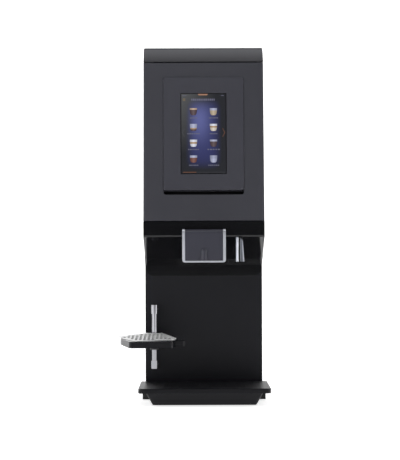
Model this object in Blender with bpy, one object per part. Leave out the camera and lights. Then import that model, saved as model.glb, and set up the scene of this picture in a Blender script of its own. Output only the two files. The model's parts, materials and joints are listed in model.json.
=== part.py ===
"""Hot coffee vending machine: a narrow table-top instant machine with a swing-out cup shelf.

Lengths are millimetres and become metres when a mesh is made. X points right, -Y points to
the user and Z points up. The origin is the middle of the front foot rail's underside, in the
plane of the column's front.
"""

import math

import bmesh
import bpy
from mathutils import Matrix, Vector

MM = 0.001
GAP = 0.3

# Cabinet
HALF_WIDTH = 132.8
HEIGHT = 790.0
BACK = 300.0
SHEET = 1.5
LID_SEAM = 754.5
FOOT_HEIGHT = 26.0
FOOT_HALF_WIDTH = 139.0
HEAD_FRONT = -49.5

# Door: its face leans back from its lower to its upper edge
DOOR_LOW = 400.3
DOOR_HIGH = 752.5
DOOR_FACE_LOW = -143.0
DOOR_FACE_HIGH = -97.0
DOOR_REAR = -52.0
DOOR_WALL = 3.0
DOOR_HINGE = (-125.0, -70.0)
LOCK_Y = -28.0
LOCK_Z = 470.0
CATCH_Z = 452.0

# Display panel, in distances along the leaning face from the door's lower edge
PANEL_HALF_WIDTH = 88.5
PANEL_LOW = 68.6
PANEL_HIGH = 321.5
SLOT_LOW = 58.5
SCREEN_HALF_WIDTH = 50.75
SCREEN_LOW = 103.8
SCREEN_HIGH = 285.3

# Outlet area
FASCIA_FOLD = 366.0
UNDERSIDE_BACK = (-18.0, 308.0)
CHIN_LOW = 278.0
CHIN_RADIUS = 22.0
FOLD_RADIUS = 5.0
COVER_HALF_WIDTH = 47.5
COVER_FRONT = -158.0
COVER_LOW = 310.0
COVER_HIGH = 383.0
OUTLET_Y = -120.0
WATER_OUTLET_X = 79.0

# Drip tray
TRAY_HALF_WIDTH = 143.6
TRAY_FRONT = -198.0
TRAY_TOP = 38.5
DECK_UNDER = 28.0
PLATE_HALF_WIDTH = 105.0
PLATE_FRONT = -172.0
PLATE_BACK = -30.0

# Swing shelf on its rod
ROD = (-112.0, -20.0)
ROD_RADIUS = 5.7
ROD_LOW = 69.0
ROD_HIGH = 213.0
COLLAR_RADIUS = 13.0
COLLAR_SEAT = 133.0
SHELF_TOP = 151.0
SHELF_DEPTH = 15.5
SHELF_SLOPE = 0.05

# Ingredient canisters
CANISTER_X = {"left": -84.0, "middle": 0.0, "right": 84.0}
CANISTER_HALF_WIDTH = 39.0
CANISTER_FRONT = -38.0
CANISTER_BACK = 100.0
DECK_TOP = 517.0
CANISTER_TOP = 735.0
AUGER_Z = 535.0
BULKHEAD = 110.0
LOWER_PLATE = -20.0

# Mixing bowl and boiler
BOWL_Y = -54.0
BOWL_HALF_WIDTH = 102.5
WHIPPER_Z = 443.0
BOILER_CENTRE = (0.0, 150.0)
BOILER_RADIUS = 75.0
BOILER_LOW = 46.0
BOILER_HIGH = 300.0

# Rear face
FAN_CENTRE = (0.0, 640.0)
FAN_RADIUS = 37.0
SWITCH_CENTRE = (96.0, 297.0, 75.0)
WATER_INLET = (-80.0, 80.0)


# Materials

def material(name, color, roughness, metallic=0.0):
    """A Principled material with one colour, roughness and metallic value."""
    mat = bpy.data.materials.new(name)
    mat.use_nodes = True
    shader = mat.node_tree.nodes["Principled BSDF"]
    shader.inputs["Base Color"].default_value = (*color, 1.0)
    shader.inputs["Roughness"].default_value = roughness
    shader.inputs["Metallic"].default_value = metallic
    return mat


# Outlines and rings

def arc(centre, radius, start, end, steps):
    """Points on an arc, angles in degrees, both ends included."""
    points = []
    for i in range(steps + 1):
        angle = math.radians(start + (end - start) * i / steps)
        points.append((centre[0] + radius * math.cos(angle), centre[1] + radius * math.sin(angle)))
    return points


def rounded_rectangle(low, high, radius, steps=3):
    """Rectangle outline with round corners, anticlockwise."""
    x0, y0 = low[0] + radius, low[1] + radius
    x1, y1 = high[0] - radius, high[1] - radius
    points = arc((x1, y0), radius, -90, 0, steps)
    points += arc((x1, y1), radius, 0, 90, steps)
    points += arc((x0, y1), radius, 90, 180, steps)
    points += arc((x0, y0), radius, 180, 270, steps)
    return points


def rounded_outline(corners, radii, steps=3):
    """Polygon outline whose corner i is rounded with radii[i]."""
    points = []
    count = len(corners)
    for i, corner in enumerate(corners):
        here = Vector(corner)
        before = (Vector(corners[i - 1]) - here).normalized()
        after = (Vector(corners[(i + 1) % count]) - here).normalized()
        if radii[i] <= 0.0:
            points.append(tuple(here))
            continue
        half = before.angle(after) / 2.0
        reach = radii[i] / math.tan(half)
        start = here + before * reach
        end = here + after * reach
        for step in range(steps + 1):
            t = step / steps
            point = start * (1 - t) ** 2 + here * 2 * t * (1 - t) + end * t ** 2
            points.append(tuple(point))
    return points


def place(axis, a, b, t):
    """World point from the two across-axis coordinates and the one along the axis."""
    if axis == "x":
        return (t, a, b)
    if axis == "y":
        return (a, t, b)
    return (a, b, t)


def ring(axis, centre, radius, t, sides):
    """Circle of points across an axis."""
    points = []
    for i in range(sides):
        angle = 2 * math.pi * i / sides
        a = centre[0] + radius * math.cos(angle)
        b = centre[1] + radius * math.sin(angle)
        points.append(place(axis, a, b, t))
    return points


# Solids

def loft(rings, closed=False):
    """Closed solid through rings of equal point count; open ends are capped."""
    bm = bmesh.new()
    rows = [[bm.verts.new(point) for point in points] for points in rings]
    count = len(rows[0])
    last = len(rows) if closed else len(rows) - 1
    for r in range(last):
        low, high = rows[r], rows[(r + 1) % len(rows)]
        for i in range(count):
            j = (i + 1) % count
            bm.faces.new((low[i], low[j], high[j], high[i]))
    if not closed:
        bm.faces.new(rows[0])
        bm.faces.new(rows[-1])
    bmesh.ops.recalc_face_normals(bm, faces=bm.faces)
    return bm


def prism(outline, axis, low, high):
    """Outline across an axis, extruded from low to high."""
    return loft([[place(axis, a, b, t) for a, b in outline] for t in (low, high)])


def box(low, high):
    """Rectangular block."""
    outline = [(low[0], low[1]), (high[0], low[1]), (high[0], high[1]), (low[0], high[1])]
    return prism(outline, "z", low[2], high[2])


def turned(axis, centre, profile, sides=16, closed=False):
    """Solid of revolution through (radius, position along axis) pairs."""
    return loft([ring(axis, centre, radius, t, sides) for radius, t in profile], closed)


def smooth_route(points, per_span=4):
    """Catmull-Rom curve through the route's own points."""
    inner = [Vector(point) for point in points]
    vectors = [inner[0] * 2 - inner[1]] + inner + [inner[-1] * 2 - inner[-2]]
    route = []
    for i in range(1, len(vectors) - 2):
        p0, p1, p2, p3 = vectors[i - 1:i + 3]
        for step in range(per_span):
            t = step / per_span
            route.append(0.5 * (2 * p1 + (p2 - p0) * t + (2 * p0 - 5 * p1 + 4 * p2 - p3) * t ** 2
                                + (3 * p1 - p0 - 3 * p2 + p3) * t ** 3))
    route.append(vectors[-2])
    return route


def tube(route, radius, sides=8):
    """Round bar along a route, its ends square to the route's first and last spans."""
    across = None
    rings = []
    for i, point in enumerate(route):
        ahead = route[min(i + 1, len(route) - 1)] - route[max(i - 1, 0)]
        ahead.normalize()
        if across is None:
            across = ahead.orthogonal().normalized()
        across = (across - ahead * across.dot(ahead)).normalized()
        other = ahead.cross(across)
        points = []
        for side in range(sides):
            angle = 2 * math.pi * side / sides
            points.append(tuple(point + across * radius * math.cos(angle) + other * radius * math.sin(angle)))
        rings.append(points)
    return loft(rings)


def bevel_where(bm, test, width, segments=2, across=True):
    """Round the edges whose two end points both pass a test; across=False leaves those that cross X = 0."""
    edges = [edge for edge in bm.edges if all(test(vert.co) for vert in edge.verts)]
    if not across:
        edges = [edge for edge in edges if edge.verts[0].co.x * edge.verts[1].co.x > 0]
    bmesh.ops.bevel(bm, geom=edges, offset=width, segments=segments, profile=0.5, affect="EDGES")
    return bm


# Objects

def to_metres(bm, name, pivot):
    """Mesh in metres, measured from the pivot."""
    shift = Vector(pivot.location) if pivot else Vector((0, 0, 0))
    bmesh.ops.transform(bm, matrix=Matrix.Translation(-shift) @ Matrix.Scale(MM, 4), verts=bm.verts)
    mesh = bpy.data.meshes.new(name)
    bm.to_mesh(mesh)
    bm.free()
    return mesh


def pivot_at(name, point):
    """Empty on a joint's axis."""
    empty = bpy.data.objects.new(name, None)
    empty.location = Vector(point) * MM
    bpy.context.scene.collection.objects.link(empty)
    return empty


def piece(name, bm, mat, pivot=None):
    """Object for one sub-part."""
    mesh = to_metres(bm, name, pivot)
    mesh.materials.append(mat)
    mesh.shade_smooth()
    mesh.set_sharp_from_angle(angle=math.radians(35))
    obj = bpy.data.objects.new(name, mesh)
    obj.parent = pivot
    bpy.context.scene.collection.objects.link(obj)
    return obj


def tool(obj, bm, operation):
    """Boolean on obj with a hidden helper."""
    name = f"{obj.name}.tool{len(obj.modifiers)}"
    helper = bpy.data.objects.new(name, to_metres(bm, name, obj.parent))
    helper.parent = obj.parent
    helper.hide_render = True
    helper.display_type = "WIRE"
    bpy.context.scene.collection.objects.link(helper)
    modifier = obj.modifiers.new(name, "BOOLEAN")
    modifier.operation = operation
    modifier.object = helper
    modifier.solver = "EXACT"


def cut(obj, *solids):
    """Take solids away from obj."""
    for bm in solids:
        tool(obj, bm, "DIFFERENCE")


def add(obj, *solids):
    """Union solids with obj."""
    for bm in solids:
        tool(obj, bm, "UNION")


# Leaning door face

FACE_RISE = Vector((0, DOOR_FACE_HIGH - DOOR_FACE_LOW, DOOR_HIGH - DOOR_LOW)).normalized()
FACE_OUT = Vector((0, -FACE_RISE.z, FACE_RISE.y))


def onto_face(bm):
    """Turn a solid drawn as (x, distance up the face, distance out of it) onto the door's face."""
    matrix = Matrix((
        (1, 0, 0, 0),
        (0, FACE_RISE.y, FACE_OUT.y, DOOR_FACE_LOW),
        (0, FACE_RISE.z, FACE_OUT.z, DOOR_LOW),
        (0, 0, 0, 1),
    ))
    bmesh.ops.transform(bm, matrix=matrix, verts=bm.verts)
    return bm


def underside_z(y):
    """Height of the outlet moulding's slanted underside."""
    back_y, back_z = UNDERSIDE_BACK
    return back_z + (back_y - y) * (FASCIA_FOLD - back_z) / (back_y - DOOR_FACE_LOW)


# Base and cabinet

def base_parts(mats):
    """Foot rails and base pan."""
    rear_half_width = HALF_WIDTH - 8
    front = box((-FOOT_HALF_WIDTH, -31, 0), (FOOT_HALF_WIDTH, 29, FOOT_HEIGHT))
    piece("front_foot_rail", front, mats["rubber"])
    rear = box((-rear_half_width, 262, 0), (rear_half_width, 292, FOOT_HEIGHT))
    piece("rear_foot_rail", rear, mats["rubber"])

    inside = HALF_WIDTH - SHEET - GAP
    floor = FOOT_HEIGHT + GAP
    pan = piece("base_pan", box((-inside, 2.3, floor), (inside, BACK - 2.3, 44)), mats["steel"])
    wall = 1.6
    cut(pan, box((-inside + wall, 2.3 + wall, floor + wall), (inside - wall, BACK - 2.3 - wall, 60)))


def side_panel_outline():
    """Side view of a cabinet side: column below, head reaching forward above."""
    lift = 2.0
    return [
        (2.3, FOOT_HEIGHT + 0.6),
        (2.3, underside_z(2.3) + lift),
        (HEAD_FRONT, underside_z(HEAD_FRONT) + lift),
        (HEAD_FRONT, LID_SEAM - GAP),
        (BACK - 0.5, LID_SEAM - GAP),
        (BACK - 0.5, FOOT_HEIGHT + 0.6),
    ]


def cabinet_parts(mats):
    """Side panels, rear cover, column front and top cover."""
    inner = HALF_WIDTH - SHEET
    piece("side_panel_left", prism(side_panel_outline(), "x", -HALF_WIDTH, -inner), mats["side"])
    right = piece("side_panel_right", prism(side_panel_outline(), "x", inner, HALF_WIDTH), mats["side"])
    cut(right, turned("x", (LOCK_Y, LOCK_Z), [(8.3, inner - 5), (8.3, HALF_WIDTH + 5)]))

    piece("column_front_panel", box((-HALF_WIDTH, 0, 28.9), (HALF_WIDTH, 2, 299.7)), mats["column"])
    rear_cover(mats)
    top_cover(mats)


def rear_cover(mats):
    """Rear cover with cooling slots and openings for the water and mains inlets."""
    inside = HALF_WIDTH - SHEET - GAP
    front, back = BACK - 2.0, BACK - 0.5
    cover = piece("rear_cover", box((-inside, front, 28.6), (inside, back, LID_SEAM - 1)), mats["side"])
    slot_half_width, slot_height, pitch = 34.0, 5.0, 11.0
    for i in range(6):
        middle = FAN_CENTRE[1] + (i - 2.5) * pitch
        outline = rounded_rectangle((-slot_half_width, middle - slot_height / 2),
                                    (slot_half_width, middle + slot_height / 2), 2.4, 2)
        cut(cover, prism(outline, "y", front - 5, back + 5))
    cut(cover, turned("y", WATER_INLET, [(13.8, front - 5), (13.8, back + 5)]))
    cut(cover, box((52.5, front - 5, 57.5), (107.5, back + 5, 92.5)))


def top_cover(mats):
    """Top cover: a shell open below, with a sloping rounded front."""
    wall = 2.5
    outer = rounded_outline([(-95, LID_SEAM), (-58, HEIGHT), (BACK - 0.5, HEIGHT), (BACK - 0.5, LID_SEAM)],
                            [0, 14, 6, 0], 3)
    shell = prism(outer, "x", -HALF_WIDTH, HALF_WIDTH)
    bevel_where(shell, lambda co: abs(co.x) > HALF_WIDTH - 1 and co.z > LID_SEAM + 1, 1.5, 1)
    cover = piece("top_cover", shell, mats["door"])
    inner = [(-95 + wall * 1.6, LID_SEAM - 5), (-95 + wall * 1.6, LID_SEAM + 1), (-58 + 2, HEIGHT - wall),
             (BACK - 0.5 - wall, HEIGHT - wall), (BACK - 0.5 - wall, LID_SEAM - 5)]
    cut(cover, prism(inner, "x", -HALF_WIDTH + wall, HALF_WIDTH - wall))


def inner_chassis(mats):
    """Folded sheet: lower plate, canister deck and bulkhead in one piece."""
    inside = HALF_WIDTH - SHEET - GAP
    thick = 2.0
    outline = [
        (LOWER_PLATE, 402), (LOWER_PLATE + thick, 402), (LOWER_PLATE + thick, DECK_TOP - thick),
        (BULKHEAD + thick, DECK_TOP - thick), (BULKHEAD + thick, 745), (BULKHEAD, 745),
        (BULKHEAD, DECK_TOP), (LOWER_PLATE, DECK_TOP),
    ]
    chassis = piece("inner_chassis", prism(outline, "x", -inside, inside), mats["steel"])
    cut(chassis, turned("y", (0, WHIPPER_Z), [(4.5, LOWER_PLATE - 5), (4.5, LOWER_PLATE + 8)], 12))
    cut(chassis, box((106, LOWER_PLATE - 5, CATCH_Z - 25), (inside + 5, LOWER_PLATE + 5, LOCK_Z + 20)))
    for x in CANISTER_X.values():
        cut(chassis, turned("y", (x, AUGER_Z), [(5, BULKHEAD - 5), (5, BULKHEAD + 8)], 12))


# Outlet area

def nozzle_housing(mats):
    """Glossy moulding: front band, slanted underside, side cheeks and the chin on the column."""
    wall = 2.5
    front = DOOR_FACE_LOW
    top = DOOR_LOW - 0.6
    inside = HALF_WIDTH - SHEET - GAP
    rise = wall * 1.1
    outer = [(front, top), (front, FASCIA_FOLD), (-6, underside_z(-6)), (-3, underside_z(-3)), (-3, top)]
    block = prism(rounded_outline(outer, [0, FOLD_RADIUS, 0, 0, 0], 4), "x", -HALF_WIDTH, HALF_WIDTH)
    bevel_where(block, lambda co: co.z < FASCIA_FOLD - 1 and -5 > co.y > front, FOLD_RADIUS, 3, across=False)
    housing = piece("nozzle_housing", block, mats["gloss"])
    inner = [(front + wall, top - wall), (front + wall, FASCIA_FOLD + rise), (5, underside_z(5) + rise),
             (5, top + 5), (-60, top + 5), (-60, top - wall)]
    cheek = HALF_WIDTH - 3
    cut(housing, prism(inner, "x", -cheek, cheek))
    for low_x, high_x in ((-HALF_WIDTH - 5, -inside), (inside, HALF_WIDTH + 5)):
        cut(housing, box((low_x, HEAD_FRONT - GAP, 290), (high_x, 5, top + 5)))

    chin_top = underside_z(-3) + 0.4
    half = HALF_WIDTH - 0.3
    chin = rounded_outline([(-half, chin_top), (-half, CHIN_LOW), (half, CHIN_LOW), (half, chin_top)],
                           [0, CHIN_RADIUS, CHIN_RADIUS, 0], 6)
    add(housing, prism(chin, "y", -3.6, -GAP))
    cut(housing, box((-60, -122, top - 20), (60, -58, top + 5)))
    under = underside_z(OUTLET_Y)
    cut(housing, turned("z", (0, OUTLET_Y), [(8, under - 8), (8, under + 12)], 12))
    cut(housing, turned("z", (WATER_OUTLET_X, OUTLET_Y), [(4.6, under - 8), (4.6, under + 12)], 12))
    cut(housing, turned("z", DOOR_HINGE, [(2.9, top - 8), (2.9, top + 8)], 12))


def cover_profile():
    """Side view of the outlet cover's cheeks, under the slanted underside."""
    back = -78.0
    return rounded_outline(
        [(COVER_FRONT, COVER_LOW - 5), (COVER_FRONT, COVER_HIGH), (DOOR_FACE_LOW - GAP, COVER_HIGH),
         (DOOR_FACE_LOW - GAP, FASCIA_FOLD - GAP), (back, underside_z(back) - GAP), (back, COVER_LOW - 5)],
        [0, 8, 0, 0, 0, 0], 4)


def outlet_cover(mats):
    """Bright U-frame and the dark face between its cheeks."""
    strip = 6.0
    lip = 3.5
    side = COVER_HALF_WIDTH
    front_view = [(-side, COVER_HIGH + 5), (-side, COVER_LOW), (side, COVER_LOW), (side, COVER_HIGH + 5)]
    frame = prism(rounded_outline(front_view, [0, 6.5, 6.5, 0], 5), "y", COVER_FRONT - 5, -60)
    trim = piece("spout_trim", frame, mats["chrome"])
    tool(trim, prism(cover_profile(), "x", -side - 5, side + 5), "INTERSECT")
    inner = COVER_HALF_WIDTH - strip
    cut(trim, box((-inner, COVER_FRONT - 5, COVER_LOW + lip), (inner, -60, COVER_HIGH + 5)))
    cut(trim, turned("z", (0, OUTLET_Y), [(9, COVER_LOW - 5), (9, COVER_LOW + 8)], 16))

    half = inner - GAP
    front = COVER_FRONT + 0.6
    back = DOOR_FACE_LOW - GAP
    low = COVER_LOW + lip + GAP
    high = COVER_HIGH - 0.6
    wall = 3.0
    bend = 9.0
    centre = (front + bend, high - bend)
    outer = [(front, low), *arc(centre, bend, 180, 90, 5), (back, high)]
    inside = [(back, high - wall), *arc(centre, bend - wall, 90, 180, 3), (front + wall, low)]
    cover = piece("spout_cover", prism(outer + inside, "x", -half, half), mats["cover"])

    radius, ridge_top = 6.8, 340.0
    ridge = [(radius, low), (radius, ridge_top - 5), (radius * 0.8, ridge_top - 2), (radius * 0.4, ridge_top)]
    add(cover, turned("z", (0, front + 1.5), ridge, 16))


def outlets(mats):
    """Coffee nozzle inside the cover and the bright hot-water outlet at its right."""
    under = underside_z(OUTLET_Y)
    tip = COVER_LOW + 1
    seat, high = under + 6, under + 14
    nozzle = [(2.4, tip), (7.0, tip), (7.0, seat), (4.4, seat + 2), (4.4, high), (2.4, high)]
    piece("coffee_outlet", turned("z", (0, OUTLET_Y), nozzle, 12, closed=True), mats["cover"])

    half, back, front, low = 9.0, -102.0, -152.0, 308.0
    top = FASCIA_FOLD
    seat = [(DOOR_FACE_LOW - GAP, top), (DOOR_FACE_LOW - GAP, top - 3), (back, underside_z(back) - GAP)]
    profile = rounded_outline([(front, low), (front - 1, top), *seat, (back, low)], [0, 7, 0, 0, 0, 4], 3)
    blade = prism(profile, "x", WATER_OUTLET_X - half, WATER_OUTLET_X + half)
    bevel_where(blade, lambda co: abs(co.x - WATER_OUTLET_X) > half - 0.1 and co.y < DOOR_FACE_LOW, 5.5, 3)
    for vert in blade.verts:
        taper = max(0.0, vert.co.x - WATER_OUTLET_X) / half
        vert.co.x -= 3.0 * taper * (vert.co.z - low) / (top - low)
    outlet = piece("hot_water_outlet", blade, mats["chrome"])
    barb = [(4.2, under - 12), (4.2, under + 14)]
    add(outlet, turned("z", (WATER_OUTLET_X, OUTLET_Y), barb, 12))
    cut(outlet, turned("z", (WATER_OUTLET_X, OUTLET_Y), [(2.0, 300), (2.0, under + 20)], 8))


# Door

def door_parts(mats):
    """Door shell, display panel, screen, display unit, catch and the two hinge pins."""
    hinge = pivot_at("door_hinge_pivot", (*DOOR_HINGE, DOOR_LOW))
    outline = [(DOOR_FACE_LOW, DOOR_LOW), (DOOR_FACE_HIGH, DOOR_HIGH),
               (DOOR_REAR, DOOR_HIGH), (DOOR_REAR, DOOR_LOW)]
    solid = prism(outline, "x", -HALF_WIDTH, HALF_WIDTH)
    bevel_where(solid, lambda co: abs(co.x) > HALF_WIDTH - 1 and co.y < -90, 3.5, 3)
    shell = piece("door_shell", solid, mats["door"], hinge)
    wall = DOOR_WALL
    inner = [(DOOR_FACE_LOW + wall + 0.4, DOOR_LOW + wall), (DOOR_FACE_HIGH + wall - 0.4, DOOR_HIGH - wall),
             (DOOR_REAR + 10, DOOR_HIGH - wall), (DOOR_REAR + 10, DOOR_LOW + wall)]
    cut(shell, prism(inner, "x", -HALF_WIDTH + wall, HALF_WIDTH - wall))
    cut(shell, box((-100, -90, DOOR_LOW - 5), (HALF_WIDTH - wall, DOOR_REAR + 10, DOOR_LOW + wall + 1)))
    window = rounded_rectangle((-PANEL_HALF_WIDTH, SLOT_LOW), (PANEL_HALF_WIDTH, PANEL_HIGH), 6.0)
    cut(shell, onto_face(prism(window, "z", -12, 12)))
    for end in (DOOR_LOW, DOOR_HIGH):
        cut(shell, turned("z", DOOR_HINGE, [(2.8, end - 8), (2.8, end + 8)], 12))

    display_panel(mats, hinge)
    catch_x = 112.0
    bracket = box((catch_x, -70, CATCH_Z - 10), (catch_x + 3, -14, CATCH_Z + 6))
    catch = piece("door_catch", bracket, mats["steel"], hinge)
    add(catch, box((catch_x, -70, CATCH_Z - 10), (HALF_WIDTH - wall - GAP, -66, CATCH_Z + 6)))
    add(catch, box((catch_x + 2, -22, CATCH_Z - 3), (catch_x + 10, -17, CATCH_Z + 3)))
    hinge_pins(mats)


def display_panel(mats, hinge):
    """Raised panel with the finger recess under it, the glass and the unit behind."""
    half = PANEL_HALF_WIDTH - GAP
    outline = rounded_rectangle((-half, PANEL_LOW), (half, PANEL_HIGH - GAP), 5.7)
    panel = piece("display_panel", onto_face(prism(outline, "z", -3, 1.6)), mats["panel"], hinge)
    web = box((-half, PANEL_LOW, -15), (half, PANEL_LOW + 2.5, -1))
    recess = box((-half, SLOT_LOW - 3, -17.5), (half, PANEL_LOW + 2.5, -14.5))
    add(panel, onto_face(web), onto_face(recess))
    cut(panel, onto_face(box((-SCREEN_HALF_WIDTH, SCREEN_LOW, -8), (SCREEN_HALF_WIDTH, SCREEN_HIGH, 8))))

    edge = SCREEN_HALF_WIDTH - GAP
    glass = box((-edge, SCREEN_LOW + GAP, -2.8), (edge, SCREEN_HIGH - GAP, 1.3))
    piece("touch_screen", onto_face(glass), mats["glass"], hinge)
    unit = box((-60, SCREEN_LOW - 7, -21), (60, SCREEN_HIGH + 7, -3.3))
    piece("display_unit", onto_face(unit), mats["plastic"], hinge)


def hinge_pins(mats):
    """Pins the door turns on: one through the housing's top plate, one hanging under the top cover."""
    x, y = DOOR_HINGE
    plate_top = DOOR_LOW - 0.6 - 2.5 - GAP
    lower = piece("hinge_pin_bottom", box((x - 2.9, y - 9, plate_top - 3), (x + 14, y + 9, plate_top)),
                  mats["steel"])
    add(lower, turned("z", (x, y), [(2.5, plate_top - 1), (2.5, DOOR_LOW + 12)], 12))

    inside = HALF_WIDTH - SHEET - GAP
    low = LID_SEAM + 0.5
    outer = -inside + 1
    upper = piece("hinge_pin_top", box((outer, y - 8, low), (x + 14, -45, low + 2.5)), mats["steel"])
    add(upper, box((outer, -50, low), (outer + 4.5, -8, low + 2.5)))
    add(upper, box((outer, -45, low - 20), (outer + 2.5, -8, low + 2.5)))
    add(upper, turned("z", (x, y), [(2.5, DOOR_HIGH - 12), (2.5, low + 1)], 12))


def lock_parts(mats):
    """Key lock in the right side panel and the cam that holds the door's catch."""
    x_out = HALF_WIDTH
    barrel = [(7.6, 121), (7.6, x_out + GAP), (10, x_out + GAP), (10, x_out + 1.5)]
    lock = piece("lock_barrel", turned("x", (LOCK_Y, LOCK_Z), barrel, 16), mats["chrome"])
    cut(lock, box((x_out - 1, LOCK_Y - 0.9, LOCK_Z - 4), (x_out + 5, LOCK_Y + 0.9, LOCK_Z + 4)))

    pivot = pivot_at("lock_cam_pivot", (118, LOCK_Y, LOCK_Z))
    cam = [(LOCK_Y + 4, LOCK_Z - 5), (LOCK_Y - 24, LOCK_Z - 4),
           (LOCK_Y - 24, LOCK_Z + 4), (LOCK_Y + 4, LOCK_Z + 5)]
    piece("lock_cam", prism(cam, "x", 117.4, 120.4), mats["steel"], pivot)


# Swing shelf

def rod_plan(corners, radii):
    """Plan outline from corners measured from the rod's axis."""
    return rounded_outline([(ROD[0] + x, ROD[1] + y) for x, y in corners], radii, 3)


def shelf_outline():
    """Plan of the shelf body: a hub round the rod and a leaf that widens towards a flat front."""
    corners = [(-16, -8), (-74, -92), (-70, -116), (-49, -185), (43, -185), (54, -132), (16, -8)]
    return rod_plan(corners, [6, 16, 8, 8, 8, 16, 6])


def plate_outline():
    """Plan of the slotted plate: a pointed leaf, its left corner overhanging the body."""
    corners = [(-16, -8), (-80, -84), (-71, -112), (-37, -184), (44, -150), (51, -124), (16, -8)]
    return rod_plan(corners, [6, 8, 14, 12, 10, 10, 6])


def basin_outline():
    """Plan of the hollow under the plate."""
    corners = [(-13, -14), (-67, -88), (-64, -112), (-33, -174), (38, -143), (44, -122), (12, -14)]
    return rod_plan(corners, [4, 12, 8, 8, 8, 8, 4])


def depth_inside(outline, x, y):
    """Distance from a point inside a convex outline to its nearest side; negative outside."""
    distances = []
    for (ax, ay), (bx, by) in zip(outline, outline[1:] + outline[:1]):
        length = math.hypot(bx - ax, by - ay)
        distances.append(((bx - ax) * (y - ay) - (by - ay) * (x - ax)) / length)
    return min(distances)


def sloped(bm):
    """Let a shelf solid fall away towards its front."""
    for vert in bm.verts:
        vert.co.z -= max(0.0, ROD[1] - vert.co.y) * SHELF_SLOPE
    return bm


def shelf_parts(mats):
    """Rod, its two brackets, collar, clamp screw, shelf body and lift-out grille."""
    x, y = ROD
    rod = turned("z", ROD, [(ROD_RADIUS, ROD_LOW + 3), (ROD_RADIUS, ROD_HIGH - 3)], 16)
    piece("shelf_rod", rod, mats["chrome"])
    sleeve = 7.4
    for name, low, high, blind in (("rod_bracket_lower", ROD_LOW, ROD_LOW + 18, ROD_LOW + 2.6),
                                   ("rod_bracket_upper", ROD_HIGH - 20, ROD_HIGH, ROD_HIGH - 2.6)):
        bracket = piece(name, turned("z", ROD, [(sleeve, low), (sleeve, high)], 16), mats["chrome"])
        middle = (low + high) / 2
        add(bracket, turned("y", (x, middle), [(4.5, y + 2), (4.5, -3), (8, -3), (8, -GAP)], 12))
        ends = (blind, high + 5) if blind < middle else (low - 5, blind)
        cut(bracket, turned("z", ROD, [(ROD_RADIUS + GAP, end) for end in ends], 16))

    height = pivot_at("shelf_height_pivot", (x, y, COLLAR_SEAT))
    bore = ROD_RADIUS + GAP
    boss_low, flange_low, collar_high = COLLAR_SEAT - 21, COLLAR_SEAT - 4, COLLAR_SEAT + 15.5
    collar = [(bore, boss_low), (10, boss_low), (10, flange_low), (17, flange_low), (17, COLLAR_SEAT - 0.5),
              (COLLAR_RADIUS, COLLAR_SEAT - 0.5), (COLLAR_RADIUS, collar_high), (bore, collar_high)]
    piece("shelf_collar", turned("z", ROD, collar, 20, closed=True), mats["plastic"], height)
    screw_z = boss_low + 6
    screw = pivot_at("clamp_screw_pivot", (x + 10, y, screw_z))
    knob = [(2.5, x + 10.5), (2.5, x + 14), (4.5, x + 14.5), (4.5, x + 21), (3.5, x + 22)]
    piece("shelf_clamp_screw", turned("x", (y, screw_z), knob, 12), mats["chrome"], screw)

    swing = pivot_at("shelf_swing_pivot", (x, y, COLLAR_SEAT))
    shelf_body(mats, swing)
    shelf_grille(mats, swing)


def shelf_body(mats, swing):
    """Black basin with a hub that turns on the collar, and the grip at its right."""
    x, y = ROD
    low = SHELF_TOP - SHELF_DEPTH
    top = SHELF_TOP - 1.4
    hub = 19.0
    hub_high = COLLAR_SEAT + 15.5
    body = piece("shelf_body", sloped(prism(shelf_outline(), "z", low, top)), mats["plastic"], swing)
    add(body, turned("z", ROD, [(hub, COLLAR_SEAT), (hub, hub_high)], 20))
    cut(body, sloped(prism(basin_outline(), "z", low + 2.2, top + 5)))
    bore = COLLAR_RADIUS + GAP
    wall = [(bore, COLLAR_SEAT), (hub - 2, COLLAR_SEAT), (hub - 2, hub_high), (bore, hub_high)]
    add(body, turned("z", ROD, wall, 20, closed=True))
    cut(body, turned("z", ROD, [(bore, COLLAR_SEAT - 10), (bore, hub_high + 10)], 20))
    grip_y = y - 150
    grip = [(x + 42, grip_y - 8), (x + 66, grip_y - 8), (x + 70, grip_y - 4), (x + 70, grip_y + 4),
            (x + 66, grip_y + 8), (x + 42, grip_y + 8)]
    add(body, sloped(prism(grip, "z", low + 1.5, low + 12.5)))


def shelf_grille(mats, swing):
    """Steel plate with rows of slots, lying on the basin's rim."""
    top = SHELF_TOP
    outline = plate_outline()
    grille = piece("shelf_grille", sloped(prism(outline, "z", top - 1.1, top)), mats["brushed"], swing)
    x, y = ROD
    cut(grille, turned("z", ROD, [(20, 120), (20, 180)], 20))
    half_x, half_y, rim = 2.9, 10.0, 4.5
    for row in range(5):
        slot_y = y - 50 - row * 25.0
        for column in range(-9, 8):
            slot_x = x + column * 9.0
            corners = [(slot_x + i * half_x, slot_y + j * half_y) for i in (-1, 1) for j in (-1, 1)]
            if min(depth_inside(outline, *corner) for corner in corners) > rim:
                slot = rounded_rectangle(corners[0], corners[3], half_x - 0.1, 2)
                cut(grille, prism(slot, "z", 120, 180))


# Drip tray

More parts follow.
